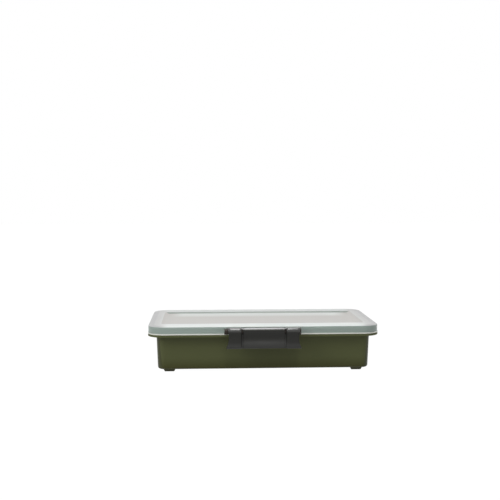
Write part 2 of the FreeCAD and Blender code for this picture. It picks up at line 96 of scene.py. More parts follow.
# %% A class that turns sums into nodes
class Wire:
    """One output socket of a node tree, on which arithmetic adds Math nodes."""

    def __init__(self, tree, socket=None):
        self.tree = tree
        self.socket = socket

    def node(self, kind, settings=None, inputs=None, output=0):
        """Add a node: its settings first, then values or links for its sockets by name or number."""
        made = self.tree.nodes.new(kind)
        for name, value in (settings or {}).items():
            if name == "stops":
                set_stops(made.color_ramp, value)
            else:
                setattr(made, name, value)
        for name, value in (inputs or {}).items():
            if isinstance(value, Wire):
                self.tree.links.new(value.socket, made.inputs[name])
            else:
                made.inputs[name].default_value = value
        return Wire(self.tree, made.outputs[output])

    def calc(self, operation, first, second=0.0, clamp=False):
        return self.node("ShaderNodeMath", {"operation": operation, "use_clamp": clamp}, {0: first, 1: second})

    def __add__(self, other):
        return self.calc("ADD", self, other)

    def __radd__(self, other):
        return self.calc("ADD", other, self)

    def __sub__(self, other):
        return self.calc("SUBTRACT", self, other)

    def __rsub__(self, other):
        return self.calc("SUBTRACT", other, self)

    def __mul__(self, other):
        return self.calc("MULTIPLY", self, other)

    def __rmul__(self, other):
        return self.calc("MULTIPLY", other, self)

    def __truediv__(self, other):
        return self.calc("DIVIDE", self, other)

    def __neg__(self):
        return self.calc("MULTIPLY", self, -1.0)

    def __abs__(self):
        return self.calc("ABSOLUTE", self)

    def __pow__(self, other):
        return self.calc("POWER", self, other)

    def at_least(self, other):
        return self.calc("MAXIMUM", self, other)

    def ramp(self, low, high):
        """0 below low, 1 above high, and a smooth step between them."""
        settings = {"interpolation_type": "SMOOTHSTEP"}
        return self.node("ShaderNodeMapRange", settings, {"Value": self, "From Min": low, "From Max": high})

    def blend(self, first, second):
        """Colour that goes from first to second as this value goes from 0 to 1."""
        return self.node("ShaderNodeMix", {"data_type": "RGBA"}, {0: self, 6: first, 7: second}, output=2)


def set_stops(ramp, stops):
    """Give a colour ramp its (place, grey) stops."""
    while len(ramp.elements) < len(stops):
        ramp.elements.new(1.0)
    for element, (place, grey) in zip(ramp.elements, stops):
        element.position = place
        element.color = (grey, grey, grey, 1.0)


def colour(red, green, blue):
    return (red, green, blue, 1.0)


# %% [markdown]
# ## Starting a finish
# Every finish here starts in the same way: a Principled shader, and the object's own coordinates in
# metres, which never slide when a piece moves on its joint. Noise is asked for by the real size of
# its grain.

# %% Helpers for finishes
def start_finish(name):
    """New material. Returns it, its Principled node and a wire of object coordinates."""
    material = bpy.data.materials.new(name)
    material.use_nodes = True
    tree = material.node_tree
    shader = tree.nodes["Principled BSDF"]
    place = Wire(tree).node("ShaderNodeTexCoord", output="Object")
    return material, shader, place


def feed(shader, **sockets):
    """Set or link sockets of a shader: an underscore in a name stands for a space."""
    for name, value in sockets.items():
        socket = shader.inputs[name.replace("_", " ")]
        if isinstance(value, Wire):
            value.tree.links.new(value.socket, socket)
        else:
            socket.default_value = value


def noise(place, grain, detail=2.0, roughness=0.5, squash=(1.0, 1.0, 1.0)):
    """Noise from 0 to 1 whose grain is about as large as asked for, in metres."""
    scaled = place.node("ShaderNodeMapping", None, {"Vector": place, "Scale": squash})
    inputs = {"Vector": scaled, "Scale": 1.0 / grain, "Detail": detail, "Roughness": roughness}
    return place.node("ShaderNodeTexNoise", None, inputs)


def bump(height, depth, strength=1.0):
    """Normal from a height of 0 to 1 that stands for a real depth in metres."""
    return height.node("ShaderNodeBump", None, {"Height": height, "Distance": depth, "Strength": strength})


def axis(place, number):
    """One coordinate of a place."""
    return place.node("ShaderNodeSeparateXYZ", None, {0: place}, output=number)


def dress(name, material):
    """Give a CAD node one finish all over."""
    mesh = nodes[name].data
    mesh.materials.clear()
    mesh.materials.append(material)


# %% [markdown]
# ## Olive tray
# The tray is a thick moulding in a fine matt grain, which a mould gets from spark erosion. The grain
# is bump, as it is far finer than the mesh could carry. Inside, the cavity is polished, so the
# roughness falls between the walls. A slow noise keeps the olive from being one flat value. Two
# darker olives are painted shade: one low on the tray, and one inside the cavity.

# %% Olive plastic
def olive_finish():
    material, shader, place = start_finish("olive plastic")
    across = abs(axis(place, 1) - 0.00215)
    along = abs(axis(place, 0))
    height = axis(place, 2)
    inside = (1.0 - across.ramp(0.0484, 0.0487)) * (1.0 - along.ramp(0.0960, 0.0963)) * height.ramp(0.0040, 0.0045)
    cloud = noise(place, 0.03, detail=3.0)
    fleck = noise(place, 0.0006, detail=1.0)
    base = cloud.blend(colour(0.071, 0.079, 0.030), colour(0.082, 0.090, 0.035))
    # Painted shade: the olive turns darker and yellower towards the bottom of the tray, for the shade low on its sides.
    base = (1.0 - height.ramp(0.0020, 0.0150)).blend(base, colour(0.043, 0.045, 0.010))
    # Painted shade: the cavity's inside gets a darker olive, for the shade that falls between its walls. Its lower
    # roughness is the real polish.
    base = inside.blend(base, colour(0.050, 0.055, 0.020))
    rough = 0.46 + 0.06 * fleck - 0.24 * inside
    grain = noise(place, 0.00045, detail=2.0)
    feed(shader, Base_Color=base, Roughness=rough, Normal=bump(grain * (1.0 - 0.85 * inside), 0.00006, 0.5))
    feed(shader, Specular_IOR_Level=0.20)
    return material


dress("tray", olive_finish())


# %% [markdown]
# ## Dividers
# The dividers are thin plates in the same family of colour, a little greyer than the tray, and their
# faces are smoother. They are carried over from the frame with their own finish.

# %% Divider plastic
def divider_finish():
    material, shader, place = start_finish("divider plastic")
    cloud = noise(place, 0.02, detail=2.0)
    grain = noise(place, 0.0005, detail=1.0)
    base = cloud.blend(colour(0.092, 0.092, 0.060), colour(0.112, 0.110, 0.074))
    feed(shader, Base_Color=base, Roughness=0.34 + 0.06 * grain, Normal=bump(grain, 0.00003, 0.35))
    return material


divider_plastic = divider_finish()
for name in nodes:
    if name.startswith("divider_"):
        dress(name, divider_plastic)


# %% [markdown]
# ## Surfaces from numbers
# The lid and the latch are soft mouldings: every edge is rounded a little, and the slopes run into
# each other. Boxes and cylinders with modifiers could come near, but a moulding is easier to steer
# as rows of points that are worked out from its section. numpy gives all rows at once, and two
# helpers turn any grid of points into a closed mesh.

# %% Grids into meshes
SHARP_ANGLE = 38.0
EDGE_SOFTNESS = 0.15 * MM


def grid_faces(rows, columns, wrap_rows=False, start=0):
    """Quads of a grid whose columns close on themselves. Point number = start + row * columns + column."""
    row = np.arange(rows if wrap_rows else rows - 1)[:, None]
    column = np.arange(columns)[None, :]
    following_row = (row + 1) % rows * columns
    following_column = (column + 1) % columns
    corners = [row * columns + column, row * columns + following_column,
               following_row + following_column, following_row + column]
    return (np.stack(corners, axis=-1).reshape(-1, 4) + start).tolist()


def shell_of(grid, wrap_rows=False):
    """Points and faces of a closed skin over a grid of rows: the two end rows are closed by one face each."""
    rows, columns = grid.shape[:2]
    faces = grid_faces(rows, columns, wrap_rows)
    if not wrap_rows:
        faces.append(list(range(columns))[::-1])
        faces.append(list(range((rows - 1) * columns, rows * columns)))
    return grid.reshape(-1, 3), faces


def make_object(name, shell):
    """Object from the points of a closed shell, in mm, and its faces, which are turned outwards."""
    points, faces = shell
    mesh = bpy.data.meshes.new(name)
    mesh.from_pydata((points * MM).tolist(), [], faces)
    turn_outwards(mesh)
    piece = bpy.data.objects.new(name, mesh)
    bpy.context.scene.collection.objects.link(piece)
    return piece


def turn_outwards(mesh):
    """Make the faces of a closed shell point outwards."""
    work = bmesh.new()
    work.from_mesh(mesh)
    bmesh.ops.recalc_face_normals(work, faces=work.faces)
    work.to_mesh(mesh)
    work.free()


def combine(piece, shell, operation):
    """Join another closed shell to a piece, or cut it away, with an exact Boolean that is applied at once."""
    other = make_object("other", shell)
    boolean = piece.modifiers.new("combine", "BOOLEAN")
    boolean.object = other
    boolean.operation = operation
    boolean.solver = "EXACT"
    solved = piece.evaluated_get(bpy.context.evaluated_depsgraph_get())
    mesh = bpy.data.meshes.new_from_object(solved)
    piece.modifiers.clear()
    piece.data = mesh
    bpy.data.objects.remove(other)


def finish_piece(piece, material, body):
    """Ease a piece's sharp edges, let its flat faces look flat, dress it and put it on its body."""
    mesh = piece.data
    mesh.shade_smooth()
    mesh.set_sharp_from_angle(angle=math.radians(SHARP_ANGLE))
    mesh.materials.clear()
    mesh.materials.append(material)
    bevel = piece.modifiers.new("eased edges", "BEVEL")
    bevel.width = EDGE_SOFTNESS
    bevel.segments = 2
    bevel.limit_method = "ANGLE"
    bevel.angle_limit = math.radians(SHARP_ANGLE)
    bevel.harden_normals = True
    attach(piece, body)
    print(piece.name, len(mesh.vertices), "points", len(mesh.polygons), "faces")


# %% [markdown]
# ## Lid
# The lid is unpigmented polypropylene: milky, slightly cloudy and smooth. What lies close behind it
# shows through, such as the dark lip behind its skirt, and what lies deeper is lost in the milk.
# Rough transmission through a real wall does part of that, where a see-through alpha would not. The
# skirt's darker grey-green is also painted shade. Much of the lid's light and shade is painted into
# its colour: painted highlights on the border, on a margin of the panel by the hinges and on the
# bead, and painted shade on the panel's step walls and on the slopes at the ends.

# %% Milky plastic
# Tones of the lid. Apart from the panel's own cloudy tones, these are painted light and shade: highlights on the
# margin, border and bead, shade on the end slopes, step walls and skirt.
PANEL_TONE = (0.63, 0.615, 0.585)
PANEL_CLOUD = (0.69, 0.67, 0.64)
MARGIN_HIGHLIGHT_TONE = (0.87, 0.90, 0.88)
BORDER_HIGHLIGHT_TONE = (0.90, 0.94, 0.92)
HINGE_BORDER_HIGHLIGHT_TONE = (0.70, 0.73, 0.72)
END_TONE = (0.60, 0.60, 0.59)
END_SLOPE_SHADE_TONE = (0.50, 0.50, 0.50)
WALL_SHADE_TONE = (0.30, 0.34, 0.31)
SKIRT_SHADE_TONE = (0.355, 0.43, 0.39)
BEAD_HIGHLIGHT_TONE = (1.0, 1.0, 0.92)


def inset_from_outline(place):
    """Distance in from the lid's rounded outline: corner - sqrt(dx^2 + dy^2), both counted from the corner's middle."""
    beyond_x = (abs(axis(place, 0)) - (LENGTH / 2 - CORNER) * MM).at_least(0.0)
    beyond_y = (abs(axis(place, 1) - MIDDLE_Y * MM) - (WIDTH / 2 - CORNER) * MM).at_least(0.0)
    return CORNER * MM - (beyond_x * beyond_x + beyond_y * beyond_y) ** 0.5


def milky_finish():
    material, shader, place = start_finish("milky plastic")
    height = axis(place, 2)
    inset = inset_from_outline(place)
    cloud = noise(place, 0.018, detail=3.0)
    grain = noise(place, 0.0007, detail=2.0)
    depth = abs(axis(place, 1) - MIDDLE_Y * MM)
    border = depth.ramp(0.0387, 0.0391).at_least(1.0 - inset.ramp(0.0114, 0.0118))
    along = abs(axis(place, 0))
    end = along.ramp(0.0860, 0.0980)
    edge = 1.0 - inset.ramp(0.0011, 0.0014)
    above_bead = height.ramp(0.0364, 0.0367)
    skirt = edge * above_bead * (1.0 - height.ramp(0.0425, 0.0427))
    bead = edge * (1.0 - above_bead)
    slope = 1.0 - inset.ramp(0.0045, 0.0065)
    from_middle = axis(place, 1) - MIDDLE_Y * MM
    hinge_side = from_middle.ramp(0.0100, 0.0290)
    wall = height.ramp(0.0416, 0.0418) * depth.ramp(0.0358, 0.0370) * (1.0 - depth.ramp(0.0389, 0.0390)) * (1.0 - along.ramp(0.0902, 0.0930))
    base = cloud.blend(colour(*PANEL_TONE), colour(*PANEL_CLOUD))
    # Painted highlight: a pale margin across the panel on the hinge side, fading out towards the ends.
    base = (hinge_side * height.ramp(0.0405, 0.0410) * (1.0 - along.ramp(0.0740, 0.0900))).blend(base, colour(*MARGIN_HIGHLIGHT_TONE))
    # Painted highlight: the border round the panel is painted near white, for the shine on the rim.
    base = border.blend(base, colour(*BORDER_HIGHLIGHT_TONE))
    # Painted highlight, weaker: on the hinge side the border's painted highlight is greyer.
    base = (border * from_middle.ramp(0.0385, 0.0390)).blend(base, colour(*HINGE_BORDER_HIGHLIGHT_TONE))
    # At the ends the border is painted grey like the panel, without the painted highlight.
    base = (border * end).blend(base, colour(*END_TONE))
    # Painted shade: the outer slope at each end of the border is painted darker.
    base = (slope * end).blend(base, colour(*END_SLOPE_SHADE_TONE))
    # Painted shade: the step walls between the panel and the border along the long sides are painted dark.
    base = wall.blend(base, colour(*WALL_SHADE_TONE))
    # Painted shade: the skirt is painted a darker grey-green, for the dark olive lip that shows through it.
    base = skirt.blend(base, colour(*SKIRT_SHADE_TONE))
    # Painted highlight: the bead round the skirt's bottom edge is painted a bright cream line.
    base = bead.blend(base, colour(*BEAD_HIGHLIGHT_TONE))
    feed(shader, Base_Color=base, Roughness=0.26 + 0.10 * cloud + 0.10 * (1.0 - border))
    feed(shader, Transmission_Weight=0.36, IOR=1.49, Normal=bump(grain * (1.0 - border), 0.00003, 0.3))
    return material


# %% [markdown]
# ## Lid: sizes
# The lid has a skirt with a thin bead round its bottom edge, a border that rises a little from the
# skirt's edge to a flat land, and a sunk panel. Its sizes are those of the frame, in millimetres.

# %% Sizes of the lid
LENGTH = 210.0
WIDTH = 115.6
MIDDLE_Y = 2.15
CORNER = 14.5
LID_LOW = 35.5
SKIRT_TOP = 42.7
CROWN_TOP = 43.1
CROWN_WIDTH = 4.6
PANEL_EDGE_Z = 43.0
BEAD_PROUD = 0.35
BEAD_TOP = 36.7
SKIRT_ROUND = 0.35
LID_WALL = 1.6
INNER_CORNER = 12.5
ROOF = 41.1
PANEL_Z = 41.5
PANEL_END = (17.8, 11.8)
PANEL_SIDE = (20.4, 18.8)
PANEL_CORNER = (3.0, 5.0)

# %% [markdown]
# ## Lid: a stack of rings
# Seen from above, each level of the lid is a rectangle with round corners. So the lid is a stack of
# such rings. Each ring has an inset from the ends, an inset from the long sides, a corner radius and
# a height. The stack starts in the middle of the panel, climbs out of it, goes over the border and
# down the skirt, turns in under the bottom edge, and comes back inside as the lid's underside.

# %% Rings of the lid
CORNER_STEPS = 14


def smooth(part):
    """Rise from 0 to 1 that is level at both ends: 3 p^2 - 2 p^3."""
    part = np.clip(part, 0, 1)
    return part * part * (3 - 2 * part)


def rings(end_inset, side_inset, corner, height):
    """Rounded rectangles, one for each entry of the four arrays.

    Round the ring, corner number k turns through its own quarter, and a point is the corner's middle,
    at (+-(half length - corner), +-(half width - corner)), plus corner * (cos angle, sin angle).
    """
    quarter = np.linspace(0, math.pi / 2, CORNER_STEPS + 1)
    angle = (quarter + math.pi / 2 * np.arange(4)[:, None]).ravel()
    sign_x = np.repeat([1, -1, -1, 1], CORNER_STEPS + 1)
    sign_y = np.repeat([1, 1, -1, -1], CORNER_STEPS + 1)
    far_x = LENGTH / 2 - end_inset - corner
    far_y = WIDTH / 2 - side_inset - corner
    x = sign_x * far_x[:, None] + np.cos(angle) * corner[:, None]
    y = sign_y * far_y[:, None] + np.sin(angle) * corner[:, None] + MIDDLE_Y
    z = np.broadcast_to(height[:, None], x.shape)
    return np.stack([x, y, z], axis=-1)


def panel_climb(grow, sink):
    """Rings out of the sunk panel, as (end inset, side inset, corner, height), up to the rim's inner edge.

    The height follows a smooth rise. The long sides go back evenly with it, which makes an S, and the
    ends go back as the square root of the height, which makes a dish: steep at the top, shallow below.
    """
    part = np.linspace(0, 1, 13)
    rise = smooth(part)
    height = PANEL_Z - sink + (PANEL_EDGE_Z - PANEL_Z) * rise
    end = PANEL_END[0] + (PANEL_END[1] - PANEL_END[0]) * np.sqrt(rise) - grow
    side = PANEL_SIDE[0] + (PANEL_SIDE[1] - PANEL_SIDE[0]) * part - grow
    corner = PANEL_CORNER[0] + (PANEL_CORNER[1] - PANEL_CORNER[0]) * part + grow
    return end, side, corner, height


def rim_rise():
    """Rings from the panel's edge up to the rim's crest: the height follows a quarter of a sine."""
    part = np.linspace(0, 1, 7)[1:-1]
    crest = BEAD_PROUD + CROWN_WIDTH
    end = PANEL_END[1] + (crest - PANEL_END[1]) * part
    side = PANEL_SIDE[1] + (crest - PANEL_SIDE[1]) * part
    corner = PANEL_CORNER[1] + (CORNER - crest - PANEL_CORNER[1]) * part
    return end, side, corner, PANEL_EDGE_Z + (CROWN_TOP - PANEL_EDGE_Z) * np.sin(part * math.pi / 2)


def outline_rings(inset, height):
    """Rings that follow the lid's outline at an even inset."""
    inset = np.array(inset, float)
    return inset, inset, CORNER - inset, np.array(height, float)


def crown_and_skirt():
    """Rings from the land over the border's slope, round the skirt's edge and down to the bead."""
    part = np.linspace(0, 1, 7)
    slope_inset = BEAD_PROUD + SKIRT_ROUND + (CROWN_WIDTH - SKIRT_ROUND) * (1 - part)
    slope_height = CROWN_TOP - (CROWN_TOP - SKIRT_TOP) * part ** 1.4
    turn = np.linspace(0, math.pi / 2, 7)[1:]
    edge_inset = BEAD_PROUD + SKIRT_ROUND * (1 - np.sin(turn))
    edge_height = SKIRT_TOP - SKIRT_ROUND * (1 - np.cos(turn))
    return outline_rings(np.append(slope_inset, edge_inset), np.append(slope_height, edge_height))


def bead_rings():
    """Rings of the bead: a quarter round on top, an upright face and a small round below."""
    turn = np.linspace(0, math.pi / 2, 5)
    top_inset = BEAD_PROUD * (1 - np.sin(turn))
    top_height = BEAD_TOP - BEAD_PROUD * (1 - np.cos(turn))
    foot = BEAD_PROUD / 2
    foot_inset = foot * (1 - np.cos(turn))
    foot_height = LID_LOW + foot * (1 - np.sin(turn))
    return outline_rings(np.append(top_inset, foot_inset), np.append(top_height, foot_height))


def inner_wall():
    """Rings up the inside of the skirt and round into the roof."""
    wall = BEAD_PROUD + LID_WALL
    turn = np.linspace(0, math.pi / 2, 5)
    inset = np.append(wall, wall + SKIRT_ROUND * (1 - np.cos(turn)))
    height = np.append(LID_LOW, ROOF - SKIRT_ROUND * (1 - np.sin(turn)))
    return inset, inset, INNER_CORNER + wall - inset, height


def lid_shell():
    """The whole lid as one closed stack of rings, from the panel's top face round to its underside."""
    under = [values[::-1] for values in panel_climb(LID_WALL / 2, LID_WALL)]
    parts = [panel_climb(0.0, 0.0), rim_rise(), crown_and_skirt(), bead_rings(), inner_wall(), under]
    columns = [np.concatenate(values) for values in zip(*parts)]
    return shell_of(rings(*columns))


# %% [markdown]
# ## Lid: knuckles and rail
# Behind the skirt sit three hinge knuckles, and before it the rail that carries the latch. Each is
# a bar of one section along X. A knuckle is bored for its pin, so its grid also runs back inside.

# %% Knuckles and rail
HINGE_Y = 63.55
HINGE_Z = 35.4
HINGE_X = (-69.0, 0.0, 69.0)
KNUCKLE_HALF = 11.1
KNUCKLE_RADIUS = 2.5
KNUCKLE_WEB = 2.2
PIN_BORE = 1.28
RAIL_Y = -60.55
RAIL_Z = 39.3
RAIL_HALF = 30.2
RAIL_RADIUS = 1.9
RAIL_WEB = 1.4


def lollipop(radius, stem, low, high, steps=24):
    """Round bar's section with a stem towards the lid, as (distance from the middle, height) pairs.

    The circle runs from where it meets the stem's lower face to where it meets its upper face, with
    0 degrees away from the lid, and the stem adds its two far corners.
    """
    start = -math.pi - math.asin(low / radius)
    end = math.pi - math.asin(high / radius)
    angle = np.linspace(start, end, steps)
    away = np.append(radius * np.cos(angle), [-stem, -stem])
    height = np.append(radius * np.sin(angle), [high, low])
    return away, height


def bar_rows(x_places, away, height):
    """The same section at each x: the grid's rows go along X."""
    x = np.broadcast_to(np.array(x_places)[:, None], (len(x_places), len(away)))
    return np.stack([x, np.broadcast_to(away, x.shape), np.broadcast_to(height, x.shape)], axis=-1)


def knuckle_shell(middle_x):
    """Knuckle with its bore: along the outside, and back along the bore with as many points."""
    low = LID_LOW - HINGE_Z
    skirt = WIDTH / 2 - LID_WALL / 2 - BEAD_PROUD + MIDDLE_Y
    away, height = lollipop(KNUCKLE_RADIUS, HINGE_Y - skirt, low, low + KNUCKLE_WEB)
    turn = math.atan2(height[0], away[0]) + np.arange(len(away)) * 2 * math.pi / len(away)
    ends = [middle_x - KNUCKLE_HALF, middle_x + KNUCKLE_HALF]
    outside = bar_rows(ends, HINGE_Y + away, HINGE_Z + height)
    inside = bar_rows(ends[::-1], HINGE_Y + PIN_BORE * np.cos(turn), HINGE_Z + PIN_BORE * np.sin(turn))
    return shell_of(np.concatenate([outside, inside]), wrap_rows=True)


def rail_shell():
    skirt = -WIDTH / 2 + LID_WALL / 2 + BEAD_PROUD + MIDDLE_Y
    away, height = lollipop(RAIL_RADIUS, skirt - RAIL_Y, -RAIL_WEB / 2, RAIL_WEB / 2)
    return shell_of(bar_rows([-RAIL_HALF, RAIL_HALF], RAIL_Y - away, RAIL_Z + height))


lid_cover = make_object("lid_cover", lid_shell())
for shell in [rail_shell()] + [knuckle_shell(x) for x in HINGE_X]:
    combine(lid_cover, shell, "UNION")
finish_piece(lid_cover, milky_finish(), "lid")
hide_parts("lid")

# %% [markdown]
# ## Latch: sizes
# The latch is a thick clip that hooks round the brown sleeve and hangs over the catch. Two proud
# grips stand beside a hollowed middle, and a groove parts each grip from the middle.

# %% Sizes of the latch
FRONT_Y = MIDDLE_Y - WIDTH / 2
LATCH_X = -1.0
LATCH_HALF = 33.75
LATCH_LOW = 24.5
LATCH_TOP = 42.9
RAIL_OUT = 4.9
BORE = 2.7
BARREL = 3.7
THUMB_HALF = 18.4
GROOVE_END = 19.8
GROOVE_DEPTH = 0.4
SHOULDER = 1.3
GRIP_OUT = 10.4
THUMB_OUT = 8.6
GRIP_ROUND = (2.4, 3.2)
THUMB_ROUND = (2.27, 3.6)
GRIP_WAIST = 0.6
THUMB_WAIST = 1.5
GRIP_FLARE = 0.5
THUMB_FLARE = 1.15
TOE_ROUND = 1.5
TOE_HEIGHT = 2.0
LATCH_WALL = 1.2
LEDGE_OUT = 7.3
LEDGE_TOP = 25.9
HOOK_HALF = 9.8
HOOK_BACK = 4.5
HOOK_TOP = 27.2
CHEEK_START = 31.15
CHEEK_BACK = 2.5
CHEEK_BEND = 34.7
INNER_TOP = 35.9
END_HOLLOW = 2.5
END_HOLLOW_Z = 32.5
END_HOLLOW_REACH = (8.0, 16.0)
END_ROUND = 0.7
MOUTH_ANGLE = 21.7

# %% [markdown]
# ## Latch: one section that changes along its length
# Cut across, the latch is always the same loop: round the bore, over the top, down the front, round
# the toe and up the inside. Only a few numbers of that loop change from the middle to an end: how far
# the front stands out, how much it is waisted, and whether the back is open or closed. So each number
# is a function of the distance from the latch's middle, and the loop is worked out for all rows.

# %% Section of the latch
STEP = 0.02
MOUTH_OUT = RAIL_OUT + (LATCH_TOP - RAIL_Z) * math.tan(math.radians(MOUTH_ANGLE))


def row_places():
    """Distances from the middle at which a row is needed, close together where the section changes."""
    turn = np.linspace(0, math.pi / 2, 7)
    shoulder = GROOVE_END + SHOULDER * (1 - np.cos(turn))
    cheek_end = LATCH_HALF - END_ROUND
    parts = [np.linspace(0, HOOK_HALF, 6), np.linspace(HOOK_HALF + STEP, THUMB_HALF - 0.15, 6),
             [THUMB_HALF, GROOVE_END - 0.05], shoulder, np.linspace(22.5, CHEEK_START, 7),
             [CHEEK_START + STEP], cheek_end + END_ROUND * np.sin(turn)]
    return np.concatenate(parts)


def rail_ring(radius, start, end, steps):
    """Points about the rail as (out, height): 0 degrees is towards the lid and 90 is up."""
    angle = np.radians(np.linspace(start, end, steps))
    return RAIL_OUT - radius * np.cos(angle), RAIL_Z + radius * np.sin(angle)


def latch_rows(place):
    """What changes along the latch, as columns: one number for each row."""
    place = place[:, None]
    grip = np.sqrt(1 - (1 - np.clip((place - GROOVE_END) / SHOULDER, 0, 1)) ** 2)
    groove = (place >= THUMB_HALF) * (1 - grip)
    inset = END_ROUND * (1 - np.sqrt(1 - np.clip((place - LATCH_HALF) / END_ROUND + 1, 0, 1) ** 2))
    rows = {
        "out": THUMB_OUT + (GRIP_OUT - THUMB_OUT) * grip - GROOVE_DEPTH * groove - inset,
        "waist": THUMB_WAIST + (GRIP_WAIST - THUMB_WAIST) * grip,
        "flare": THUMB_FLARE + (GRIP_FLARE - THUMB_FLARE) * grip,
        "round_out": THUMB_ROUND[0] + (GRIP_ROUND[0] - THUMB_ROUND[0]) * grip,
        "round_down": THUMB_ROUND[1] + (GRIP_ROUND[1] - THUMB_ROUND[1]) * grip,
        "dip": 0.10 * (1 - np.clip(place / THUMB_HALF, 0, 1) ** 2),
        "top": LATCH_TOP - inset,
        "low": LATCH_LOW + inset,
        "inset": inset,
        "hook": place <= HOOK_HALF,
        "cheek": place > CHEEK_START,
    }
    return rows


def front_out(rows, part):
    """How far the front stands out, part = 0 under the top's round and 1 at the toe.

    The front draws in by the waist over its upper half. Below, it swells out again by waist + flare
    half evenly and half along a smooth rise, and starts lower in the latch's middle by dip.
    """
    draw = rows["waist"] * smooth(part / 0.45)
    start = 0.34 + rows["dip"]
    done = np.clip((part - start) / (1 - start), 0, 1)
    return rows["out"] - draw + (rows["waist"] + rows["flare"]) * (done + smooth(done)) / 2


def front_chain(rows):
    """Over the top, down the front and round the toe."""
    turn = np.linspace(0, math.pi / 2, 10)
    round_out = np.minimum(rows["round_out"], rows["out"] - MOUTH_OUT)
    over_out = rows["out"] - round_out * (1 - np.sin(turn))
    over_z = rows["top"] - rows["round_down"] * (1 - np.cos(turn))
    part = np.linspace(0, 1, 22)[1:]
    start_z = rows["top"] - rows["round_down"]
    toe_z = rows["low"] + TOE_HEIGHT
    down_out = front_out(rows, part)
    down_z = start_z + (toe_z - start_z) * part
    turn = np.linspace(0, math.pi / 2, 7)[1:]
    toe_out = down_out[:, -1:] - TOE_ROUND * (1 - np.cos(turn))
    round_z = toe_z - TOE_HEIGHT * np.sin(turn)
    return [over_out, down_out, toe_out], [over_z, down_z, round_z]


def inside_chain(rows):
    """From the toe along the bottom, up the inside of the wall and round the barrel's underside."""
    start_z = rows["top"] - rows["round_down"]
    toe_z = rows["low"] + TOE_HEIGHT
    ledge_top = np.where(rows["hook"], HOOK_TOP, LEDGE_TOP)
    ledge_out = np.where(rows["hook"], HOOK_BACK, LEDGE_OUT)
    wall_z = ledge_top + (INNER_TOP - ledge_top) * np.linspace(0, 1, 9)
    wall_out = front_out(rows, (start_z - wall_z) / (start_z - toe_z)) - LATCH_WALL
    under_out, under_z = rail_ring(BARREL, 246.8, 360 - MOUTH_ANGLE, 10)
    hollow_out = [ledge_out, ledge_out, wall_out, under_out + 0 * ledge_out]
    hollow_z = [rows["low"] + 0 * ledge_out, ledge_top, wall_z, under_z + 0 * ledge_out]
    up = np.linspace(0, 1, 10)
    cheek_back = CHEEK_BACK + rows["inset"]
    slant_out = HOOK_BACK + (CHEEK_BACK - HOOK_BACK) * up + rows["inset"]
    slant_z = rows["low"] + (CHEEK_BEND - rows["low"]) * up
    end_out, end_z = rail_ring(BARREL, 310.4, 360 - MOUTH_ANGLE, 10)
    cheek_out = [slant_out, cheek_back, end_out + 0 * cheek_back]
    cheek_z = [slant_z, 36.0 + 0 * cheek_back, end_z + 0 * cheek_back]
    out = np.where(rows["cheek"], np.hstack(cheek_out), np.hstack(hollow_out))
    z = np.where(rows["cheek"], np.hstack(cheek_z), np.hstack(hollow_z))
    return out, z


def latch_shell():
    """All rows of the latch, with flat ends: the section at each place along X."""
    half = row_places()
    along = np.concatenate([-half[:0:-1], half])
    rows = latch_rows(np.abs(along))
    bore_out, bore_z = rail_ring(BORE, 360 - MOUTH_ANGLE, 90 + MOUTH_ANGLE, 15)
    start_out = RAIL_OUT + (rows["top"] - RAIL_Z) * math.tan(math.radians(MOUTH_ANGLE))
    front_outs, front_zs = front_chain(rows)
    inside_out, inside_z = inside_chain(rows)
    out = np.hstack([bore_out + 0 * start_out, start_out] + front_outs + [inside_out])
    z = np.hstack([bore_z + 0 * start_out, rows["top"]] + front_zs + [inside_z])
    x = np.broadcast_to(LATCH_X + along[:, None], out.shape)
    return shell_of(np.stack([x, FRONT_Y - out, z], axis=-1))


# %% [markdown]
# ## Latch: windows and hollow ends
# A slot beside each grip goes right through to the sleeve: a Boolean cuts it. The ends are drawn in
# at their waist. For that the flat ends are first cut into level strips, and then every point moves
# towards the middle by a parabola of its height, more so the nearer it is to an end.

# %% Make the latch
WINDOW_HALF = 2.1
STRIP = 1.0
MERGE = 0.004


def window_shell(side):
    """Block over one groove."""
    x = LATCH_X + side * np.array([THUMB_HALF + 0.1, GROOVE_END - 0.1])
    y = FRONT_Y - np.array([RAIL_OUT + BORE / 2, GRIP_OUT, GRIP_OUT, RAIL_OUT + BORE / 2])
    z = RAIL_Z + WINDOW_HALF * np.array([-1, -1, 1, 1])
    return shell_of(bar_rows(x, y, z))


def cut_in_strips(mesh, low, high, step):
    """Merge points that coincide, then cut a mesh by level planes, so that its flat ends can be bent."""
    work = bmesh.new()
    work.from_mesh(mesh)
    bmesh.ops.remove_doubles(work, verts=work.verts, dist=MERGE * MM)
    for height in np.arange(low, high, step):
        everything = work.verts[:] + work.edges[:] + work.faces[:]
        bmesh.ops.bisect_plane(work, geom=everything, plane_co=(0, 0, height * MM), plane_no=(0, 0, 1))
    bmesh.ops.dissolve_degenerate(work, edges=work.edges, dist=MERGE * MM)
    work.to_mesh(mesh)
    work.free()


def hollow_ends(mesh):
    """Move points towards the middle: share * depth * (1 - ((z - waist) / reach)^2)."""
    points = np.empty(len(mesh.vertices) * 3, np.float32)
    mesh.vertices.foreach_get("co", points)
    points = points.reshape(-1, 3) / MM
    along = points[:, 0] - LATCH_X
    grip_start = GROOVE_END + SHOULDER
    share = smooth((np.abs(along) - grip_start) / (LATCH_HALF - grip_start))
    rise = points[:, 2] - END_HOLLOW_Z
    reach = np.where(rise < 0, *END_HOLLOW_REACH)
    hollow = END_HOLLOW * np.clip(1 - (rise / reach) ** 2, 0, 1)
    points[:, 0] -= np.sign(along) * share * hollow
    mesh.vertices.foreach_set("co", (points * MM).ravel())


latch_clip = make_object("latch_clip", latch_shell())
for side in (-1, 1):
    combine(latch_clip, window_shell(side), "DIFFERENCE")
cut_in_strips(latch_clip.data, LATCH_LOW + STRIP, LATCH_TOP, STRIP)
hollow_ends(latch_clip.data)

